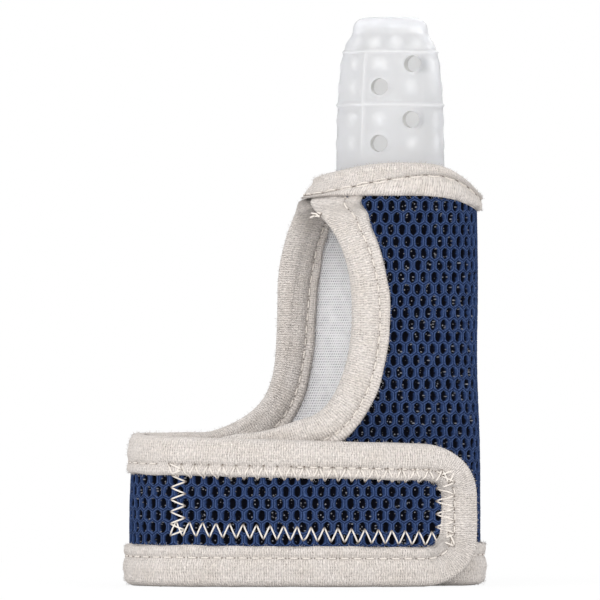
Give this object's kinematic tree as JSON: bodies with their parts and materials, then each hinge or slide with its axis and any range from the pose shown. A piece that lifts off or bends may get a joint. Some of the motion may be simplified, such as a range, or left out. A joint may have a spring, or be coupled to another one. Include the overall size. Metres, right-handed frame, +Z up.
{
  "type": "thumb guard",
  "caption": "Child's thumb guard: a ribbed silicone thumb cap sewn into the collar of a padded mesh hand sleeve that closes at the wrist with a hook-and-loop strap.",
  "frame": {"origin": "middle of the footprint, on the surface that the hem stands on", "axes": "+Z up along the thumb, +X from the strap's fold to the thumb side, -Y to the front that the strap closes over"},
  "size_m": [0.081, 0.0412, 0.1258],
  "materials": {
    "silicone": "translucent satin silicone",
    "mesh": "navy spacer mesh",
    "lining": "white warp knit",
    "binding": "cream knitted tape",
    "thread": "cream sewing thread",
    "hook_tape": "moulded hooks",
    "loop_tape": "brushed loops"
  },
  "bodies": {
    "sleeve": {"thumb_cap": "silicone", "sleeve_shell": "mesh", "sleeve_shell_upper": "mesh", "sleeve_lining": "lining", "collar_binding": "binding", "opening_binding_front": "binding", "opening_binding_back": "binding", "hem_binding": "binding", "loop_patch": "loop_tape", "collar_thread": "thread", "opening_thread_front": "thread", "opening_thread_back": "thread", "hem_thread": "thread", "loop_patch_thread": "thread", "seam_tack": "thread"},
    "strap": {"strap_shell": "mesh", "strap_lining": "lining", "strap_binding": "binding", "hook_patch": "hook_tape", "zigzag_thread": "thread", "strap_thread": "thread"}
  },
  "joints": [
    {"name": "strap_open", "type": "hinge", "parent": "sleeve", "child": "strap", "pos_m": [-0.0406, 0.00274, 0.0168], "axis": [0, 0, -1], "range_deg": [0, 120]}
  ]
}
